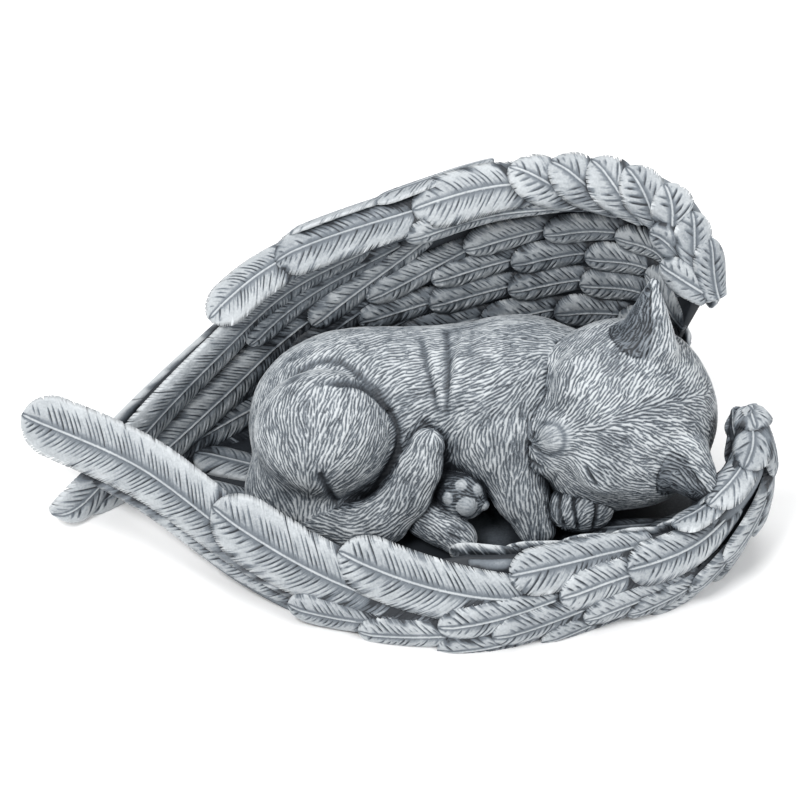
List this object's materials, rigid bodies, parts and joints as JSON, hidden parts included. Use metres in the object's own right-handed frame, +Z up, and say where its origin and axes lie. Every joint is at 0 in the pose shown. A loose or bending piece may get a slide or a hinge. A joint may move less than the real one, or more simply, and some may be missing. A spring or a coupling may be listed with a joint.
{
  "type": "pet memorial statue",
  "caption": "Cast resin pet memorial statue: a kitten asleep, curled up in a pair of feathered wings, in slate grey with light brushed ridges.",
  "frame": {"origin": "centre of the bounding box in plan, on the flat underside at z = 0", "axes": "+X from the wing tips to the cat's head and the wing shoulders, +Y from the low front wing to the tall back wing, +Z up"},
  "size_m": [0.234, 0.1224, 0.1087],
  "materials": {
    "cast_resin": "matt cast polyresin, dark slate wash in the grooves and a light grey dry brush on the ridges"
  },
  "bodies": {
    "root": {"pet_memorial_statue": "cast_resin"}
  },
  "joints": []
}
